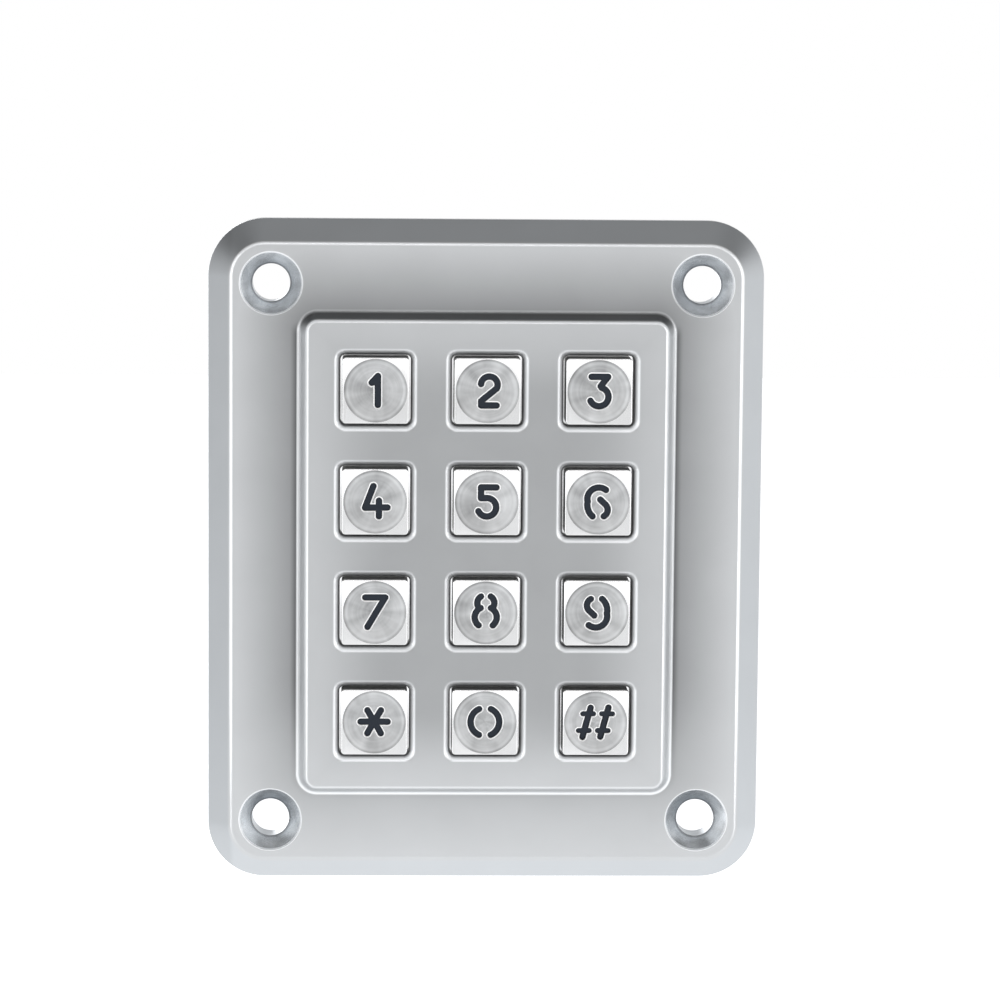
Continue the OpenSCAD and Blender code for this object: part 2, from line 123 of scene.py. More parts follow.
def pick(piece, kind, test):
    """Goes into edit mode and selects the faces or edges that pass a test in millimetres."""
    alone(piece)
    bpy.ops.object.mode_set(mode="EDIT")
    bpy.ops.mesh.select_mode(type=kind)
    bpy.ops.mesh.select_all(action="DESELECT")
    shape = bmesh.from_edit_mesh(piece.data)
    shape.normal_update()
    for part in shape.faces if kind == "FACE" else shape.edges:
        if kind == "FACE":
            hit = test(part.calc_center_median() / MM, part.normal)
        else:
            hit = test(part.verts[0].co / MM, part.verts[1].co / MM)
        part.select_set(bool(hit))
    shape.select_flush_mode()
    bmesh.update_edit_mesh(piece.data)


def done():
    bpy.ops.object.mode_set(mode="OBJECT")


def at_height(height):
    """A test for edges that lie at one height above the flange's rear face."""
    return lambda a, b: abs(a.y + height) < 0.004 and abs(b.y + height) < 0.004


def round_edges(piece, test, radius, steps=4):
    pick(piece, "EDGE", test)
    bpy.ops.mesh.bevel(offset=radius * MM, offset_type="OFFSET", segments=steps, profile=0.5,
                       affect="EDGES", clamp_overlap=False)
    done()


def block(name, w, h, base, top, x=0.0, z=0.0, r=0.0, steps=10):
    """A block across the front, from one height to another, with rounded corners."""
    bpy.ops.mesh.primitive_cube_add(size=1, location=(x * MM, -(base + top) / 2 * MM, z * MM),
                                    scale=(w * MM, (top - base) * MM, h * MM))
    piece = settled(name)
    if r:
        round_edges(piece, lambda a, b: abs(a.y - b.y) > 0.001, r, steps)
    return piece


def peg(name, d, base, top, x=0.0, z=0.0, steps=48):
    """A round peg that stands out of the front."""
    bpy.ops.mesh.primitive_cylinder_add(vertices=steps, radius=d / 2 * MM, depth=(top - base) * MM,
                                        location=(x * MM, -(base + top) / 2 * MM, z * MM),
                                        rotation=(math.pi / 2, 0, 0))
    return settled(name)


def step_out(piece, top, rise, grow_x, grow_z, x=0.0, z=0.0):
    """Extrudes the top face by a rise and scales it about its middle."""
    pick(piece, "FACE", lambda at, normal: normal.y < -0.9 and abs(at.y + top) < 0.003)
    bpy.ops.mesh.extrude_region_move(TRANSFORM_OT_translate={"value": (0, -rise * MM, 0)})
    bpy.ops.transform.resize(value=(grow_x, 1, grow_z), center_override=(x * MM, 0, z * MM))
    done()


def flared(piece, w, profile, x=0.0, z=0.0):
    """Adds to a piece's top a stack of steps, each an outward offset and a height."""
    offset, height = profile[0]
    for next_offset, next_height in profile[1:]:
        grow = (w + 2 * next_offset) / (w + 2 * offset)
        step_out(piece, height, next_height - height, grow, grow, x, z)
        offset, height = next_offset, next_height
    return piece


def joined(name, pieces):
    """Makes one piece of several."""
    alone(pieces[0])
    for piece in pieces:
        piece.select_set(True)
    if len(pieces) > 1:
        bpy.ops.object.join()
    whole = bpy.context.object
    whole.name = whole.data.name = name
    return whole


def combine(piece, tool, how="DIFFERENCE", crossing=False, solver="EXACT"):
    """Adds a tool piece to a piece or cuts it away, and removes the tool."""
    alone(piece)
    change = piece.modifiers.new("cut", "BOOLEAN")
    change.operation, change.object, change.solver = how, tool, solver
    if solver == "EXACT":
        change.use_self = crossing
    bpy.ops.object.modifier_apply(modifier=change.name)
    bpy.data.objects.remove(tool)
    return piece


def tidy(piece, gap=0.002):
    """Merges what a cut leaves doubled and drops edges that are shorter than a gap."""
    alone(piece)
    bpy.ops.object.mode_set(mode="EDIT")
    bpy.ops.mesh.select_all(action="SELECT")
    bpy.ops.mesh.remove_doubles(threshold=gap * MM)
    bpy.ops.mesh.dissolve_degenerate(threshold=gap * MM)
    bpy.ops.mesh.delete_loose()
    done()
    return piece


def smoothed(piece, angle=32):
    """Shades a piece smooth, with its flat faces kept flat."""
    alone(piece)
    bpy.ops.object.shade_smooth_by_angle(angle=math.radians(angle))
    flat = piece.modifiers.new("flat", "WEIGHTED_NORMAL")
    flat.keep_sharp = True
    flat.weight = 100
    bpy.ops.object.modifier_apply(modifier=flat.name)
    return piece


def clone(piece, name, x=0.0, z=0.0):
    """A copy with its own mesh, moved across the front."""
    alone(piece)
    bpy.ops.object.duplicate(linked=False)
    copy = bpy.context.object
    copy.name = copy.data.name = name
    copy.location = (x * MM, 0, z * MM)
    alone(copy)
    bpy.ops.object.transform_apply(location=True, rotation=True, scale=True)
    return copy


# ---- Materials ----

class Signal:
    """A value that varies over a surface, carried by a node's socket."""

    def __init__(self, maker, socket):
        self.maker, self.socket = maker, socket

    def maths(self, how, *values):
        return self.maker.add("ShaderNodeMath", {"operation": how}, dict(enumerate(values)), "Value")

    def __add__(self, other):
        return self.maths("ADD", self, other)

    __radd__ = __add__

    def __sub__(self, other):
        return self.maths("SUBTRACT", self, other)

    def __rsub__(self, other):
        return self.maths("SUBTRACT", other, self)

    def __mul__(self, other):
        return self.maths("MULTIPLY", self, other)

    __rmul__ = __mul__

    def __truediv__(self, other):
        return self.maths("DIVIDE", self, other)

    def __pow__(self, other):
        return self.maths("POWER", self, other)

    def __abs__(self):
        return self.maths("ABSOLUTE", self)

    def at_least(self, other):
        return self.maths("MAXIMUM", self, other)

    def at_most(self, other):
        return self.maths("MINIMUM", self, other)

    def rounded(self):
        return self.maths("ROUND", self)

    def floored(self):
        return self.maths("FLOOR", self)

    def sign(self):
        return self.maths("SIGN", self)

    def rising(self, start, end):
        """0 up to a start value, 1 from an end value, and smooth between them."""
        return self.maker.add("ShaderNodeMapRange", {"interpolation_type": "SMOOTHSTEP"},
                              {"Value": self, "From Min": start, "From Max": end}, "Result")


def place_stops(elements, stops):
    """Sets a ramp's stops, each a position and a level of grey."""
    elements[0].position, elements[1].position = stops[0][0], stops[-1][0]
    for position, level in stops[1:-1]:
        elements.new(position)
    for element, (position, level) in zip(elements, stops):
        element.color = (level, level, level, 1)


class Maker:
    """Builds one node tree."""

    def __init__(self, tree):
        self.tree = tree

    def add(self, kind, settings, inputs, out=None):
        """Makes a node, sets it, then its inputs, and gives the output that is asked for."""
        node = self.tree.nodes.new(kind)
        for name, value in settings.items():
            if name == "stops":
                place_stops(node.color_ramp.elements, value)
            else:
                setattr(node, name, value)
        self.feed(node, inputs)
        return Signal(self, node.outputs[out]) if out else None

    def feed(self, node, inputs):
        """Sets or links a node's inputs."""
        for name, value in inputs.items():
            if isinstance(value, Signal):
                self.tree.links.new(value.socket, node.inputs[name])
            else:
                node.inputs[name].default_value = value

    def apart(self, place):
        """The three parts of a place or direction."""
        node = self.add("ShaderNodeSeparateXYZ", {}, {"Vector": place}, "X").socket.node
        return [Signal(self, node.outputs[axis]) for axis in "XYZ"]

    def spot(self, x, y, z):
        """A place in a pattern, from its three parts."""
        return self.add("ShaderNodeCombineXYZ", {}, {"X": x, "Y": y, "Z": z}, "Vector")


class Finish(Maker):
    """One material, built from nodes."""

    def __init__(self, name):
        self.material = bpy.data.materials.new(name)
        self.material.use_nodes = True
        super().__init__(self.material.node_tree)
        self.shader = self.tree.nodes["Principled BSDF"]
        self.place = self.add("ShaderNodeTexCoord", {}, {}, "Object")

    def noise(self, size, detail=2.0, place=None):
        """Noise whose patches are about this many millimetres across."""
        return self.add("ShaderNodeTexNoise", {"noise_dimensions": "3D"},
                        {"Vector": place or self.place, "Scale": 1 / (size * MM), "Detail": detail,
                         "Roughness": 0.5}, "Fac")

    def axes(self):
        """The place along X, up Z and out of the front, in millimetres."""
        x, y, z = self.apart(self.place)
        return x * (1 / MM), z * (1 / MM), y * (-1 / MM)

    def mixed(self, amount, first, second):
        """A colour between two others."""
        return self.add("ShaderNodeMix", {"data_type": "RGBA", "clamp_factor": True},
                        {0: amount, 6: first, 7: second}, 2)

    def bumped(self, height, strength, depth):
        """The surface's direction where it has this relief, in millimetres deep."""
        return self.add("ShaderNodeBump", {},
                        {"Height": height, "Strength": strength, "Distance": depth * MM}, "Normal")

    def surface(self, **inputs):
        """Feeds the shader and gives the finished material."""
        names = {"colour": "Base Color", "metal": "Metallic", "rough": "Roughness", "normal": "Normal",
                 "shine": "Specular IOR Level"}
        self.feed(self.shader, {names[name]: value for name, value in inputs.items()})
        return self.material


def grey(level, blue=0.0):
    return (level * (1 - blue), level, level * (1 + blue), 1)


def rounded_distance(x, z, w, h, r):
    """How far a place lies outside a rounded rectangle."""
    over_x = (abs(x) - (w / 2 - r)).at_least(0)
    over_z = (abs(z) - (h / 2 - r)).at_least(0)
    return (over_x * over_x + over_z * over_z) ** 0.5 - r


def key_axes(x, z):
    """The place from the middle of its own key, across and up, in millimetres."""
    return x - PITCH * (x / PITCH).rounded(), z - PITCH * ((z / PITCH).floored() + 0.5)


def line_at(distance, core, edge):
    """1 along a line, out to a core width, falling to 0 at an edge width."""
    return 1 - abs(distance).rising(core, edge)


def painted_edge_highlights(x, z, out, from_rim, from_panel, on_flange, inside, low_down, high_up):
    """Painted highlights on the rim's crest, the window lips and the panel's edge and foot, stronger on some
    sides than on others.
    """
    crest = line_at(from_rim, 0.08, 0.36) * 0.75 * (1 - low_down) * on_flange
    key_x, key_z = key_axes(x, z)
    from_window = rounded_distance(key_x, key_z, WINDOW_W, WINDOW_W, CAP_R + WINDOW_GAP)
    lips = from_window.rising(-0.15, 0.5) * (1 - from_window.rising(0.72, 1.05))
    lips = lips * (1 - 0.6 * key_z.rising(4.4, 5.6))
    lips = lips * out.rising(PANEL_TOP - 1.1, PANEL_TOP - 0.9) * inside.rising(0.0, 0.1)
    from_top_edge = rounded_distance(x, z, PANEL_W - 2 * PANEL_LEAN, PANEL_H - 2 * PANEL_LEAN,
                                     PANEL_R - PANEL_LEAN)
    top_edge = line_at(from_top_edge, 0.1, 0.4) * out.rising(FACE + 1, PANEL_TOP)
    foot = line_at(from_panel - 0.05, 0.15, 0.42) * on_flange * (1 - 0.85 * high_up)
    return (crest + lips + (0.6 - 0.45 * low_down + 0.3 * high_up) * top_edge
            + (1.6 - 0.95 * low_down) * foot).at_most(1)


def hole_places(make, x, z, out):
    """Where the countersinks' cones, outer rings, inner dark lines and bores are, and the cones' streaks."""
    hole_x = x - x.sign() * (FLANGE_W / 2 - HOLE_EDGE)
    hole_z = z - z.sign() * (FLANGE_H / 2 - HOLE_EDGE)
    radius = (hole_x * hole_x + hole_z * hole_z) ** 0.5
    streaks = make.noise(1.0, 3, make.spot(hole_x / radius * 0.0014, hole_z / radius * 0.0014 + x.sign() * 0.003,
                                           z.sign() * 0.004 + radius * 0.0008))
    bore_r, sink_r = HOLE_D / 2, SINK_D / 2
    cone = (1 - radius.rising(sink_r - 0.1, sink_r)) * radius.rising(bore_r - 0.02, bore_r + 0.02)
    cone = cone * out.rising(FACE - 2.4, FACE - 2.2)
    ring = line_at(radius - (sink_r + 0.06), 0.06, 0.2) * out.rising(2, 3)
    line = 1 - radius.rising(bore_r + 0.05, bore_r + 0.4)
    bore = (1 - radius.rising(bore_r + 0.01, bore_r + 0.04)) * (1 - out.rising(FACE - 2.6, FACE - 2.2))
    return cone, ring, line, bore, streaks


def satin_zinc():
    """Matt plating over the die-cast frame: a fine grain, faint clouds, painted shade in the hollows, on the
    panel and on its walls, and painted highlights along the edges.
    """
    make = Finish("satin_zinc")
    x, z, out = make.axes()
    grain = make.noise(0.16, 3)
    clouds = make.noise(9, 3)
    low_down, high_up = 1 - z.rising(-44, -18), z.rising(33.5, 36)
    from_panel = rounded_distance(x, z, PANEL_W, PANEL_H, PANEL_R)
    from_rim = rounded_distance(x, z, FLANGE_W - 2 * RIM_W, FLANGE_H - 2 * RIM_W, FLANGE_R - RIM_W)
    on_bevel = from_rim.rising(0.2, 0.6)
    on_flange = (1 - out.rising(FACE + 0.15, FACE + 0.6)) * out.rising(0, 1)
    on_panel = out.rising(PANEL_TOP - 0.5, PANEL_TOP - 0.1)
    on_wall = out.rising(FACE + 0.2, FACE + 0.5) * (1 - out.rising(PANEL_TOP - 0.5, PANEL_TOP - 0.2))
    on_wall = on_wall * from_panel.rising(-2, -1)

    # Painted shade: darker towards the panel on the flange, least along the bottom, with a narrow painted shadow
    # by the panel's foot and a little painted light along the bottom, and darker towards the middle of the panel
    shade_by_panel = (1 - from_panel / 9.5).at_least(0).at_most(1)
    foot_shadow = 1 - from_panel.rising(0.2, 1.5)
    inside = (PANEL_W / 2 - abs(x)).at_most(PANEL_H / 2 - abs(z)).rising(1, 14)
    painted_flange_shade = (0.49 - 0.31 * low_down) * shade_by_panel + 0.3 * foot_shadow * (1 - low_down) * (1 - high_up)
    tone = (0.52 + 0.03 * low_down) * (1 - painted_flange_shade * on_flange)
    tone = tone * (1 - (0.05 + 0.25 * inside - 0.05 * low_down) * on_panel)
    # Painted light and shade on the panel's walls: lighter at the sides, less so along the bottom, and dark
    # along the top
    tone = tone * (1 + (0.5 - 0.3 * low_down - 1.1 * high_up) * on_wall)
    # Painted shade on the left side of the rim's bevel
    tone = tone * (1 - 0.1 * (0 - x).rising(38.5, 39.5) * on_bevel)

    # Painted highlights along the edges and round the countersinks' rims, painted light on the cones with
    # streaks in them, a painted dark line at the foot of each cone, and a pale painted reflection in the bores
    painted_highlight = painted_edge_highlights(x, z, out, from_rim, from_panel, on_flange, inside, low_down, high_up)
    cone, ring, line, bore, streaks = hole_places(make, x, z, out)
    tone = tone * (1 + cone * (0.4 - 0.2 * low_down + 1.6 * (streaks - 0.5))) * (1 - 0.45 * line * cone)
    painted_highlight = (painted_highlight + 0.8 * ring).at_most(1)
    tone = (tone + 0.5 * painted_highlight + 0.045 * (clouds - 0.5) + (0.62 - tone) * bore).at_most(1)
    colour = make.mixed(0.35 * cone + 0.35 * on_bevel + 0.6 * bore,
                        make.mixed(tone, grey(0.0), grey(1.0, 0.018)),
                        make.mixed(tone, grey(0.0), grey(1.0, 0.07)))
    rough = 0.36 + 0.1 * (clouds - 0.5) + 0.05 * (grain - 0.5) - 0.12 * cone
    # Less metallic under the painted highlights and in the bores, so that they read pale
    return make.surface(colour=colour, metal=(1 - 0.65 * painted_highlight) * (1 - 0.6 * bore), rough=rough,
                        normal=make.bumped(grain, 0.25, 0.02))


def polished_zinc():
    """Bright plating on the keys' corners, with a painted highlight that makes them brighter towards their tops.
    """
    make = Finish("polished_zinc")
    x, z, out = make.axes()
    haze = make.noise(1.4, 3)
    # Painted highlight: lighter towards the top of each key
    tone = 0.66 + 0.08 * (haze - 0.5) + 0.32 * key_axes(x, z)[1].rising(-2, 4)
    return make.surface(colour=make.mixed(tone, grey(0.0), grey(1.0)), metal=1.0, rough=0.07 + 0.06 * haze)


def halo_highlight():
    """A painted highlight on the bevelled edge round a figure: a near-white finish that is not metallic."""
    make = Finish("halo_highlight")
    fine = make.noise(0.3, 2)
    return make.surface(colour=make.mixed(fine, grey(0.93), grey(1.0)), rough=0.3 + 0.1 * fine, shine=1.0)


def dark_zinc():
    """Dark metal on the sides of a key and the walls of its figure."""
    make = Finish("dark_zinc")
    fine = make.noise(0.25, 3)
    return make.surface(colour=make.mixed(fine, grey(0.2), grey(0.3)), metal=1.0, rough=0.45 + 0.1 * fine,
                        normal=make.bumped(fine, 0.3, 0.02))


def turned_zinc():
    """The keys' dishes, turned in rings, wiped across and worn unevenly, with painted shade across each dish and
    a painted line round its rim.
    """
    make = Finish("turned_zinc")
    whole_x, whole_z, out = make.axes()
    x, z = key_axes(whole_x, whole_z)
    column, row = (whole_x / PITCH).rounded(), (whole_z / PITCH).floored()
    radius = (x * x + z * z) ** 0.5
    around_x, around_z = x / (radius + 0.3), z / (radius + 0.3)

    def pattern(along, by_radius, detail):
        """Noise that follows the rings, different on each key."""
        return make.noise(1.0, detail, make.spot(around_x * along + column * 0.0133,
                                                 around_z * along + row * 0.0117, radius * by_radius))

    rings, grooves, fans = pattern(0.0006, 0.003, 3), pattern(0.0004, 0.009, 2), pattern(0.0017, 0.0001, 2)
    clouds = make.noise(3.2, 3)
    rim = radius.rising(4.0, 4.3) * (1 - radius.rising(4.4, 4.6)) - 1.6 * radius.rising(4.5, 4.7)
    # Painted shade across each dish, lighter to the lower right and darker to the upper left; a painted light
    # line just inside the rim with a painted dark line at its edge; and darker towards the middle
    tone = (0.46 + 0.16 * (rings - 0.5) + 0.38 * (fans - 0.5) + 0.34 * (clouds - 0.5) + 0.012 * (x - z)
            + 0.06 * rim - 0.05 * (1 - radius.rising(0.5, 4)))
    colour = make.mixed(tone, grey(0.0), grey(1.0, 0.01))
    rough = 0.34 + 0.14 * (grooves - 0.5) + 0.12 * (clouds - 0.5)
    return make.surface(colour=colour, metal=1.0, rough=rough, normal=make.bumped(rings, 0.3, 0.04))


def plain(name, colour, rough, grain=0.3, metal=0.0, relief=0.02, spread=0.15, shine=0.5):
    """A simple moulded or plated finish with a fine grain and slight unevenness."""
    make = Finish(name)
    fine, clouds = make.noise(grain, 3), make.noise(grain * 22, 2)
    darker = tuple(level * (1 - spread) for level in colour) + (1,)
    lighter = tuple(min(1, level * (1 + spread)) for level in colour) + (1,)
    tone = 0.5 * fine + 0.5 * clouds
    return make.surface(colour=make.mixed(tone, darker, lighter), metal=metal, shine=shine,
                        rough=rough + 0.12 * (clouds - 0.5), normal=make.bumped(fine, 0.4, relief))


def solder_mask():
    """Green board with faint tracks under its mask."""
    make = Finish("solder_mask")
    x, z, out = make.axes()
    lanes = abs((x / 1.27) - (x / 1.27).rounded())
    track = 1 - lanes.rising(0.18, 0.24)
    colour = make.mixed(track * 0.5, (0.012, 0.09, 0.04, 1), (0.03, 0.19, 0.08, 1))
    return make.surface(colour=colour, rough=0.35 + 0.1 * make.noise(2), normal=make.bumped(track, 0.3, 0.03))


def dress(piece, *materials):
    """Gives a piece its materials in place of any that it has."""
    piece.data.materials.clear()
    for material in materials:
        piece.data.materials.append(material)
    return piece


# ---- Front frame ----

def window_tool(x, z):
    """Cuts one key's window, with a rounded lip that runs out into the panel."""
    turns = [math.radians(step) for step in (0, 16, 32, 48, 64, 80)]
    profile = [(LIP * (1 - math.cos(turn)), PANEL_TOP - LIP * (1 - math.sin(turn))) for turn in turns]
    reach, rise = profile[-1][0], 0.1
    profile.append((reach + (PANEL_TOP + rise - profile[-1][1]) / math.tan(math.radians(10)), PANEL_TOP + rise))
    tool = block("window_tool", WINDOW_W, WINDOW_W, WALL_INNER - 1, profile[0][1], x, z, CAP_R + WINDOW_GAP, 6)
    return flared(tool, WINDOW_W, profile, x, z)


def hole_tool(x, z):
    """Cuts one mounting hole with its countersink and the small round at the countersink's edge."""
    cone = (SINK_D - HOLE_D) / 2
    cone_top = FACE - SINK_STEP
    profile = [(0, cone_top - cone), (cone, cone_top), (cone + 0.01, FACE - 0.16), (cone + 0.06, FACE - 0.06),
               (cone + 0.18, FACE + 0.02), (cone + 0.3, FACE + 0.5)]
    tool = peg("hole_tool", HOLE_D, -1, profile[0][1], x, z, 64)
    return flared(tool, HOLE_D, profile, x, z)


def front_frame():
    """The cast frame: flange, rim and panel, with the rear housing's walls and all its openings."""
    body = block("front_frame_cast", FLANGE_W, FLANGE_H, 0, EDGE_T, r=FLANGE_R, steps=20)
    pick(body, "FACE", lambda at, normal: normal.y < -0.9)
    bpy.ops.mesh.inset(thickness=RIM_W * MM, depth=RIM_H * MM)
    done()
    round_edges(body, at_height(FACE), CREST_ROUND, 5)
    round_edges(body, at_height(EDGE_T), EDGE_ROUND, 3)
    round_edges(body, at_height(0), REAR_ROUND, 2)

    panel = block("panel", PANEL_W, PANEL_H, FACE - 1, FACE, r=PANEL_R, steps=10)
    pick(panel, "FACE", lambda at, normal: normal.y < -0.9)
    bpy.ops.mesh.inset(thickness=PANEL_LEAN * MM, depth=(PANEL_TOP - FACE) * MM)
    done()
    round_edges(panel, at_height(PANEL_TOP), PANEL_ROUND, 5)
    combine(body, panel, "UNION")
    at_face = at_height(FACE)
    round_edges(body, lambda a, b: at_face(a, b) and max(abs(a.x), abs(b.x)) < PANEL_W / 2 + 0.1
                and max(abs(a.z), abs(b.z)) < PANEL_H / 2 + 0.1, FOOT_FILLET, 4)

    skirt = block("skirt", COVER_W, COVER_H, SKIRT_END, 1, r=SKIRT_R, steps=8)
    combine(body, skirt, "UNION")
    pocket = block("pocket", COVER_W - 2 * SKIRT_WALL, COVER_H - 2 * SKIRT_WALL, SKIRT_END - 1, WALL_INNER,
                   r=SKIRT_R - SKIRT_WALL, steps=6)
    combine(body, pocket)
    posts = [peg("post", POST_D, BOARD_FACE, WALL_INNER + 0.5, *place, steps=32) for place in BOARD_POSTS]
    posts += [peg("post", POST_D, SKIRT_END, WALL_INNER + 0.5, *place, steps=32) for place in COVER_POSTS]
    combine(body, joined("posts", posts), "UNION", crossing=True)

    tools = [window_tool(*middle("key_cap_" + key)) for key in KEYS]
    hole_x, hole_z = FLANGE_W / 2 - HOLE_EDGE, FLANGE_H / 2 - HOLE_EDGE
    tools += [hole_tool(x * hole_x, z * hole_z) for x in (-1, 1) for z in (-1, 1)]
    for places, d, end, depth in ((BOARD_POSTS, BOARD_PILOT_D, BOARD_FACE, BOARD_PILOT_DEPTH),
                                  (COVER_POSTS, COVER_PILOT_D, SKIRT_END, COVER_PILOT_DEPTH)):
        tools += [peg("pilot", d, end - 1, end + depth, *place, steps=20) for place in places]
    core_x = (COVER_W / 2 + GASKET_W / 2 - GASKET_BAND) / 2
    core_z = (COVER_H / 2 + GASKET_H / 2 - GASKET_BAND) / 2
    for side in (-1, 1):
        upright = block("core", CORE_W, 2 * (hole_z - CORE_END), -1, CORE_FLOOR, side * core_x, 0, CORE_R, 5)
        across = block("core", 2 * (hole_x - CORE_END), CORE_W, -1, CORE_FLOOR, 0, side * core_z, CORE_R, 5)
        for core in (upright, across):
            round_edges(core, at_height(CORE_FLOOR), CORE_ROUND, 4)
            tools.append(core)
    combine(body, joined("tools", tools))

    groove = block("groove", GASKET_W + 2 * GROOVE_GAP, GASKET_H + 2 * GROOVE_GAP, -1, GASKET_T,
                   r=GASKET_R + GROOVE_GAP, steps=12)
    inner = GASKET_BAND + GROOVE_GAP
    combine(groove, block("island", GASKET_W - 2 * inner, GASKET_H - 2 * inner, -2, GASKET_T + 1,
                          r=GASKET_R - inner, steps=10))
    combine(body, groove)
    tidy(body)
    return smoothed(dress(body, satin_zinc()))


# ---- Keys ----

FIGURE_H, STROKE = 5.5, 1.0
UNIT = (FIGURE_H - STROKE) / 2
CHAMFER = 0.18


def bar(start, end, pen=STROKE):
    return ("bar", start, end, pen)


def bow(centre, radius, start, end, pen=STROKE):
    return ("bow", centre, radius, start, end, pen)


def turned(strokes, angle):
    """The strokes turned about the key's middle, in degrees."""
    c, s = math.cos(math.radians(angle)), math.sin(math.radians(angle))

    def spot(p):
        return (c * p[0] - s * p[1], s * p[0] + c * p[1])

    out = []
    for kind, *rest in strokes:
        if kind == "bar":
            out.append(("bar", spot(rest[0]), spot(rest[1]), rest[2]))
        else:
            out.append(("bow", spot(rest[0]), rest[1], rest[2] + angle, rest[3] + angle, rest[4]))
    return out


def mirrored(strokes):
    """The strokes of bows, mirrored from left to right."""
    return [("bow", (-c[0], c[1]), r, 180 - b, 180 - a, pen) for kind, c, r, a, b, pen in strokes]


SIX = [bow((0.06, 0.24), 0.78, 52, 195), bow((0.34, -0.15), 1.06, 176, 229),
       bar((0.16, 0.2), (0.52, -0.14)), bow((0.17, -0.5), 0.5, -62, 46)]
EIGHT = [bow((-0.05, 0.64), 0.53, 122, 215), bow((-0.05, -0.34), 0.7, 115, 232)]
HASH = [bar((0.88, 1.02), (0.34, -1.0)), bar((0.42, 0.58), (1.16, 0.58), 0.8),
        bar((0.14, -0.58), (0.87, -0.58), 0.8)]
FIGURES = {
    "1": [bar((0.15, 0.98), (0.15, -0.98)), bar((0.13, 0.95), (-0.27, 0.52)),
          bar((0.15, 0.62), (-0.27, 0.52))],
    "2": [bow((0.12, 0.42), 0.56, -25, 175), bar((0.63, 0.18), (-0.42, -0.68)),
          bar((-0.42, -0.68), (-0.42, -0.98)), bar((-0.42, -0.98), (0.62, -0.98))],
    "3": [bar((-0.52, 1.0), (0.6, 1.0)), bar((0.6, 1.0), (0.1, 0.36)), bow((0, -0.36), 0.64, -155, 75)],
    "4": [bar((-0.12, 1.06), (-0.68, -0.42)), bar((-0.68, -0.42), (0.84, -0.4)),
          bar((0.26, 0.06), (0.26, -1.0))],
    "5": [bar((-0.38, 1.0), (0.66, 1.0)), bar((-0.38, 1.0), (-0.38, 0.26)), bar((-0.38, 0.26), (0.08, 0.27)),
          bow((0.02, -0.36), 0.63, -155, 85)],
    "6": SIX,
    "7": [bar((-0.64, 1.0), (0.72, 1.0)), bar((0.7, 0.98), (-0.48, -1.02))],
    "8": EIGHT + mirrored(EIGHT),
    "9": turned(SIX, 180),
    "star": [bar((-0.92 * math.cos(a), -0.92 * math.sin(a)), (0.92 * math.cos(a), 0.92 * math.sin(a)))
             for a in (0, math.pi / 3, 2 * math.pi / 3)],
    "0": [bow((0, 0), 0.98, -66, 66), bow((0, 0), 0.98, 114, 246)],
    "hash": HASH + turned(HASH, 180),
}


def nib(x, z, pen, base, top, spare):
    """The round end of a stroke, which widens at the top into the figure's bevelled edge."""
    tool = peg("nib", pen, base - spare, top - CHAMFER, x, z, 20)
    return flared(tool, pen, [(0, top - CHAMFER), (CHAMFER, top), (CHAMFER, top + spare)], x, z)


def stroke_tools(stroke, base, top, spare):
    """The cutting tools of one stroke, between two heights. No two of them end in the same plane."""
    if stroke[0] == "bar":
        start, end, pen = Vector(stroke[1]) * UNIT, Vector(stroke[2]) * UNIT, stroke[3]
        along = end - start
        length = along.length
        tool = block("stroke", length, pen, base - spare, top - CHAMFER)
        height = top - CHAMFER
        for grow, rise in ((CHAMFER, CHAMFER), (0, spare)):
            before = (length, pen) if grow else (length + 2 * CHAMFER, pen + 2 * CHAMFER)
            step_out(tool, height, rise, 1 + 2 * grow / before[0], 1 + 2 * grow / before[1])
            height += rise
        # The stroke lies along X, and turns about the way out of the front
        tool.rotation_euler = (0, -math.atan2(along.y, along.x), 0)
        spot = (start + end) / 2
        tool.location = (spot.x * MM, 0, spot.y * MM)
        alone(tool)
        bpy.ops.object.transform_apply(location=True, rotation=True, scale=True)
        first = nib(start.x, start.y, pen, base, top, spare + 0.03)
        last = nib(end.x, end.y, pen, base, top, spare + 0.06)
        return [tool, first, last]
    centre, radius = Vector(stroke[1]) * UNIT, stroke[2] * UNIT
    start, end, pen = stroke[3:]
    # A thin upright section beside the centre, spun round it
    tool = block("stroke", pen, 0.002, base - spare, top - CHAMFER, radius, 0)
    height = top - CHAMFER
    for grow, rise in ((CHAMFER, CHAMFER), (0, spare)):
        before = pen if grow else pen + 2 * CHAMFER
        step_out(tool, height, rise, 1 + 2 * grow / before, 1, radius, 0)
        height += rise
    pick(tool, "FACE", lambda at, normal: normal.z > 0.9)
    bpy.ops.mesh.spin(steps=max(6, round((end - start) / 7)), angle=math.radians(end - start),
                      center=(0, 0, 0), axis=(0, 1, 0))
    done()
    tool.rotation_euler = (0, -math.radians(start), 0)
    tool.location = (centre.x * MM, 0, centre.y * MM)
    alone(tool)
    bpy.ops.object.transform_apply(location=True, rotation=True, scale=True)
    bpy.ops.object.mode_set(mode="EDIT")
    bpy.ops.mesh.select_all(action="SELECT")
    bpy.ops.mesh.remove_doubles(threshold=0.0001 * MM)
    bpy.ops.mesh.normals_make_consistent(inside=False)
    done()
    tools = [tool]
    for turn, angle in enumerate((start, end), 1):
        spot = centre + radius * Vector((math.cos(math.radians(angle)), math.sin(math.radians(angle))))
        tools.append(nib(spot.x, spot.y, pen, base, top, spare + 0.03 * turn))
    return tools


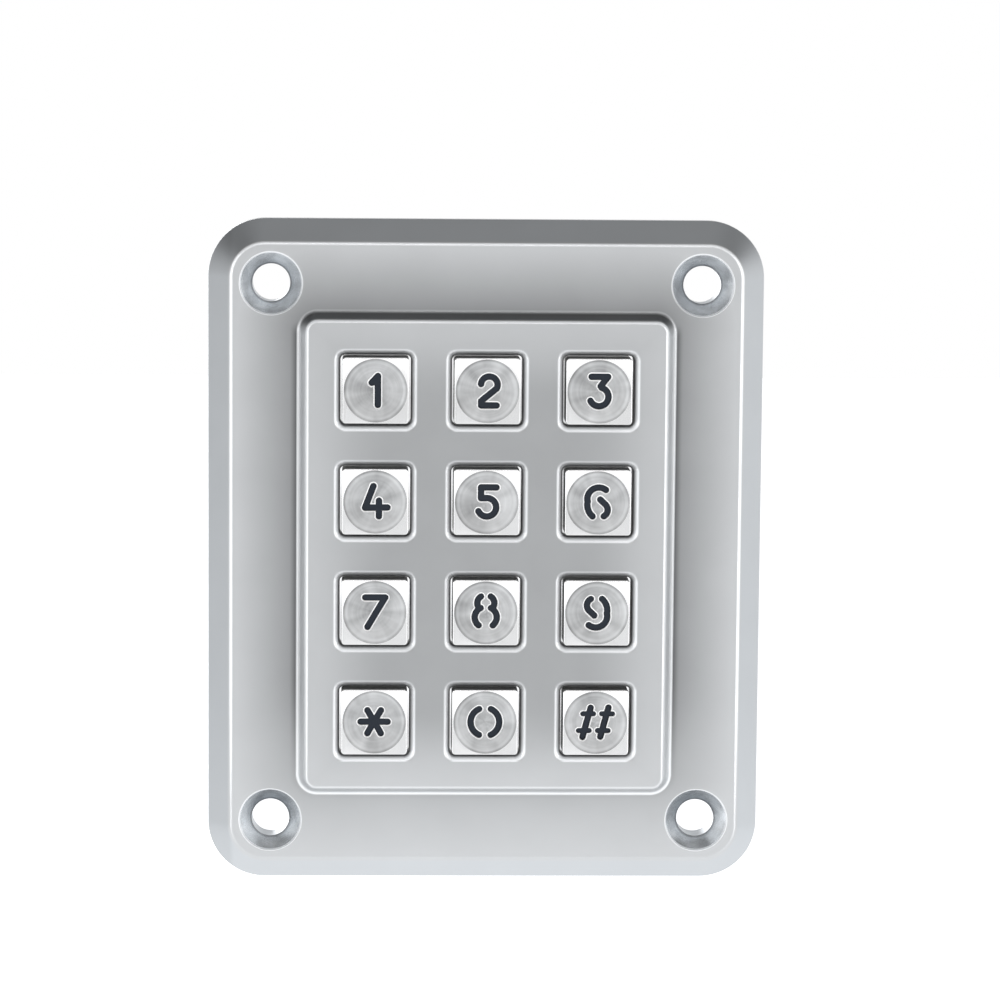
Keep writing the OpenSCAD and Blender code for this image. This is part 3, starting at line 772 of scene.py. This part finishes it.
def cap_blank():
    """A key cap at the origin with its foot, hollow and the flat floor of its dish."""
    cap = block("cap_blank", CAP_W, CAP_W, FOOT_BASE, CAP_TOP, r=CAP_R, steps=5)
    round_edges(cap, at_height(CAP_TOP), CAP_ROUND, 3)
    foot = block("foot", FOOT_W, FOOT_W, FOOT_BASE, WALL_INNER, r=FOOT_R, steps=4)
    combine(cap, foot, "UNION")
    hollow_w = CAP_W - 2 * CAP_SIDE
    combine(cap, block("hollow", hollow_w, hollow_w, FOOT_BASE - 1, CAP_TOP - CAP_WALL, r=HOLLOW_R, steps=4))
    combine(cap, peg("dish", 2 * DISH_R, CAP_TOP - DISH_STEP, CAP_TOP + 1, steps=96))
    return cap


def key_cap(key, blank, finishes):
    """One key's cap: the blank with its figure cut through, its dish sunk and its finishes laid out."""
    floor = CAP_TOP - DISH_STEP
    cap = clone(blank, "key_cap_" + key + "_metal")
    tools = []
    for turn, stroke in enumerate(FIGURES[key]):
        tools += stroke_tools(stroke, CAP_TOP - CAP_WALL, floor, 0.3 + 0.09 * turn)
    for tool in tools:
        combine(cap, tool, solver="MANIFOLD")

    def on_floor(at, normal):
        return normal.y < -0.3 and at.y < -(floor - 0.2) and math.hypot(at.x, at.z) < DISH_R

    # The dish's floor is cut into a fine net, then sunk into a bowl
    for axis in (0, 2):
        normal = [0, 0, 0]
        normal[axis] = 1
        for line in range(-NET_LINES, NET_LINES + 1):
            pick(cap, "FACE", on_floor)
            spot = [0, 0, 0]
            spot[axis] = line * NET * MM
            bpy.ops.mesh.bisect(plane_co=spot, plane_no=normal)
            done()
    pick(cap, "FACE", on_floor)
    bpy.ops.mesh.quads_convert_to_tris(quad_method="BEAUTY", ngon_method="BEAUTY")
    # Corners that the net left open along an edge are closed up
    bpy.ops.mesh.select_mode(type="EDGE")
    bpy.ops.mesh.select_all(action="DESELECT")
    bpy.ops.mesh.select_non_manifold()
    bpy.ops.mesh.remove_doubles(threshold=0.1 * MM)
    done()
    bowl = cap.vertex_groups.new(name="bowl")
    for corner in cap.data.vertices:
        radius = math.hypot(corner.co.x, corner.co.z) / MM
        height = -corner.co.y / MM
        if radius < DISH_R - 0.001 and floor - CHAMFER - 0.05 < height < floor + 0.001:
            bowl.add([corner.index], 1 - (radius / DISH_R) ** 2, "REPLACE")
    alone(cap)
    sink = cap.modifiers.new("bowl", "DISPLACE")
    sink.direction, sink.mid_level, sink.vertex_group = "Y", 0, "bowl"
    sink.strength = (DISH_DEPTH - DISH_STEP) * MM
    bpy.ops.object.modifier_apply(modifier=sink.name)

    dress(cap, *finishes)
    # Flat tops are polished, the dish is turned, the figures' bevels carry the painted halo highlight and the
    # rest is the dark metal
    for face in cap.data.polygons:
        at = face.center / MM
        inside = math.hypot(at.x, at.z) < DISH_R - 0.02 and -at.y > floor - DISH_DEPTH - 0.15
        if face.normal.y < -0.9:
            face.material_index = 1 if inside else 0
        elif face.normal.y < -0.3 and (inside or -at.y > CAP_TOP - 0.12):
            face.material_index = 2 if inside else 0
        else:
            face.material_index = 3
    x, z = middle("key_cap_" + key)
    cap.location = (x * MM, 0, z * MM)
    alone(cap)
    bpy.ops.object.transform_apply(location=True, rotation=True, scale=True)
    return smoothed(cap)


# ---- Rear pieces ----

def rear_cover(material):
    """The moulded cover: a shallow sunk middle with bosses round its screws and a raised edge at the header."""
    cover = block("rear_cover_moulded", COVER_W, COVER_H, COVER_END, SKIRT_END, r=SKIRT_R, steps=8)
    sunk = block("sunk", COVER_W - 2 * COVER_BAND, COVER_H - 2 * COVER_BAND, COVER_END - 1,
                 COVER_END + COVER_SINK, r=SKIRT_R - 1.5, steps=6)
    header = [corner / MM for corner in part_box("header_shell")]
    header_z = (header[0].z + header[1].z) / 2
    width, height = header[1].x - header[0].x + 2 * PORT_GAP, header[1].z - header[0].z + 2 * PORT_GAP
    keep = [peg("boss", BOSS_D, COVER_END - 2, COVER_END + 1, *place, steps=40) for place in COVER_POSTS]
    keep.append(block("surround", width + 2 * SURROUND_BAND, height + 2 * SURROUND_BAND, COVER_END - 2,
                      COVER_END + 1, 0, header_z, 0.8, 4))
    combine(sunk, joined("kept", keep))
    combine(cover, sunk)
    cuts = [block("port", width, height, COVER_END - 1, SKIRT_END + 1, 0, header_z, 0.3, 3)]
    for place in COVER_POSTS:
        cuts.append(peg("screw_way", SCREW_WAY_D, COVER_END - 1, SKIRT_END + 1, *place, steps=24))
    combine(cover, joined("cuts", cuts))
    tidy(cover)
    alone(cover)
    ease = cover.modifiers.new("ease", "BEVEL")
    ease.width, ease.segments, ease.limit_method, ease.angle_limit = 0.16 * MM, 2, "ANGLE", math.radians(50)
    ease.use_clamp_overlap = True
    bpy.ops.object.modifier_apply(modifier=ease.name)
    return smoothed(dress(cover, material))


def screw(name, d, head_d, head_t, seat, tip, x, z):
    """A pan head screw with a crossed recess, its head to the rear."""
    head = peg(name, head_d, seat - head_t, seat, x, z, 40)
    round_edges(head, at_height(seat - head_t), min(0.55 * head_t, 0.7), 5)
    shank = peg("shank", d, seat - 0.1, tip, x, z, 24)
    round_edges(shank, at_height(tip), 0.25 * d, 2)
    combine(head, shank, "UNION")
    for turn in (0, 90):
        w, h = (0.65 * head_d, 0.5) if turn == 0 else (0.5, 0.65 * head_d)
        slot = block("slot", w, h, seat - head_t - 0.5, seat - head_t / 2, x, z)
        combine(head, slot)
    return head


def gasket(material):
    """The rubber ring in the flange's groove."""
    ring = block("flange_gasket_rubber", GASKET_W, GASKET_H, 0, GASKET_T, r=GASKET_R, steps=12)
    combine(ring, block("inside", GASKET_W - 2 * GASKET_BAND, GASKET_H - 2 * GASKET_BAND, -1, GASKET_T + 1,
                        r=GASKET_R - GASKET_BAND, steps=10))
    tidy(ring)
    round_edges(ring, at_height(0), GASKET_ROUND, 3)
    return smoothed(dress(ring, material))


# ---- Camera, light and floor ----

scene = bpy.context.scene
scene.view_settings.view_transform = "Standard"
camera = bpy.data.objects.new("camera", bpy.data.cameras.new("camera"))
scene.collection.objects.link(camera)
camera.data.sensor_width, camera.data.lens = 36, 144.2
camera.data.clip_start, camera.data.clip_end = 0.05, 20
camera.location = (-0.019724, -0.616377, 0.080212)
camera.rotation_mode = "ZYX"
camera.rotation_euler = (math.radians(83.286), math.radians(-2.041), math.radians(0.235))
scene.camera = camera


STUDIO_LEVELS = [(0.0, 0.9), (0.45, 0.9), (0.49, 1.1), (0.58, 1.05), (0.66, 0.85), (0.74, 0.45), (0.82, 0.3),
                 (0.92, 0.31), (1.0, 0.42)]
LEFT_DIMMED = 0.72


def studio():
    """A pale studio that is bright below, dim overhead and a little dimmer to the left."""
    scene.world = bpy.data.worlds.new("studio")
    scene.world.use_nodes = True
    make = Maker(scene.world.node_tree)
    make.tree.nodes.clear()
    x, y, z = make.apart(make.add("ShaderNodeTexCoord", {}, {}, "Generated"))
    height = make.add("ShaderNodeMapRange", {}, {"Value": z, "From Min": -1, "From Max": 1}, "Result")
    side = make.add("ShaderNodeMapRange", {}, {"Value": x, "From Min": -1, "From Max": 0, "To Min": LEFT_DIMMED},
                    "Result")
    level = make.add("ShaderNodeValToRGB", {"stops": STUDIO_LEVELS}, {"Fac": height}, "Color")
    room = make.add("ShaderNodeBackground", {}, {"Color": level, "Strength": side}, "Background")
    white = make.add("ShaderNodeBackground", {}, {"Color": (1, 1, 1, 1)}, "Background")
    seen = make.add("ShaderNodeLightPath", {}, {}, "Is Camera Ray")
    both = make.add("ShaderNodeMixShader", {}, {0: seen, 1: room, 2: white}, "Shader")
    make.add("ShaderNodeOutputWorld", {}, {"Surface": both})


def floor():
    """A plain pale floor below the object."""
    bpy.ops.mesh.primitive_plane_add(size=8, location=(0, 0, -0.32))
    ground = settled("floor")
    make = Finish("pale_floor")
    make.surface(colour=make.mixed(make.noise(30, 2), grey(0.86), grey(0.9)), rough=0.9)
    make.feed(make.shader, {"Emission Color": (0.97, 0.985, 1, 1), "Emission Strength": 0.8})
    dress(ground, make.material)


def lamp(name, place, aim, width, height, watts):
    """A soft panel light that faces a point."""
    data = bpy.data.lights.new(name, "AREA")
    data.shape, data.size, data.size_y, data.energy = "RECTANGLE", width, height, watts
    light = bpy.data.objects.new(name, data)
    scene.collection.objects.link(light)
    light.location = place
    light.rotation_mode = "QUATERNION"
    light.rotation_quaternion = (Vector(aim) - Vector(place)).to_track_quat("-Z", "Y")


studio()
floor()
lamp("left_strip", (-0.95, -0.85, 0.1), (0, 0, 0), 0.3, 0.9, 2.4)
lamp("right_strip", (0.95, -0.85, 0.1), (0, 0, 0), 0.3, 0.9, 2.8)
lamp("top_strip", (0, -0.9, 0.85), (0, 0, 0), 0.9, 0.16, 1.2)
lamp("behind", (-0.5, 1.2, 0.02), (0, 0, 0), 0.8, 0.8, 5)

# ---- The keypad ----

finishes = polished_zinc(), turned_zinc(), halo_highlight(), dark_zinc()
front = front_frame()
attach(front, "housing")
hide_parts("front_frame")

blank = cap_blank()
for key in KEYS:
    cap = key_cap(key, blank, finishes)
    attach(cap, "key_" + key)
    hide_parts("key_cap_" + key)
bpy.data.objects.remove(blank)

black = plain("black_moulding", (0.03, 0.03, 0.032), 0.55, 0.35, relief=0.03)
cover = rear_cover(black)
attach(cover, "housing")
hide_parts("rear_cover")

steel = plain("zinc_steel", (0.55, 0.55, 0.56), 0.3, 0.2, metal=1.0, relief=0.01)
screws = [screw("cover_screws_steel", COVER_SCREW_D, COVER_HEAD_D, COVER_HEAD_T, COVER_END,
                COVER_END + COVER_SCREW_L, x, z) for x, z in COVER_POSTS]
cover_screws = smoothed(dress(joined("cover_screws_steel", screws), steel))
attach(cover_screws, "housing")
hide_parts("cover_screws")

rubber = plain("gasket_rubber", (0.022, 0.022, 0.022), 0.75, 0.4)
ring = gasket(rubber)
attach(ring, "housing")
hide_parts("flange_gasket")

slate = plain("slate_insert", (0.013, 0.018, 0.027), 0.6, 0.25, shine=0.25)
silicone = plain("grey_silicone", (0.16, 0.16, 0.17), 0.6, 0.5)
carbon = plain("carbon_silicone", (0.02, 0.02, 0.02), 0.7, 0.3)
gold = plain("gold_plate", (0.83, 0.60, 0.25), 0.25, 0.3, metal=1.0, relief=0.005)
nylon = plain("pale_nylon", (0.72, 0.70, 0.62), 0.5, 0.4)
mask = solder_mask()
for name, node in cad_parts.items():
    for start, material in (("key_legend", slate), ("key_plunger", silicone), ("key_mat", silicone),
                            ("contact_pill", carbon), ("contact_pads", gold), ("header_pins", gold),
                            ("header_shell", nylon), ("circuit_board", mask), ("board_screws", steel)):
        if name.startswith(start):
            dress(node, material)
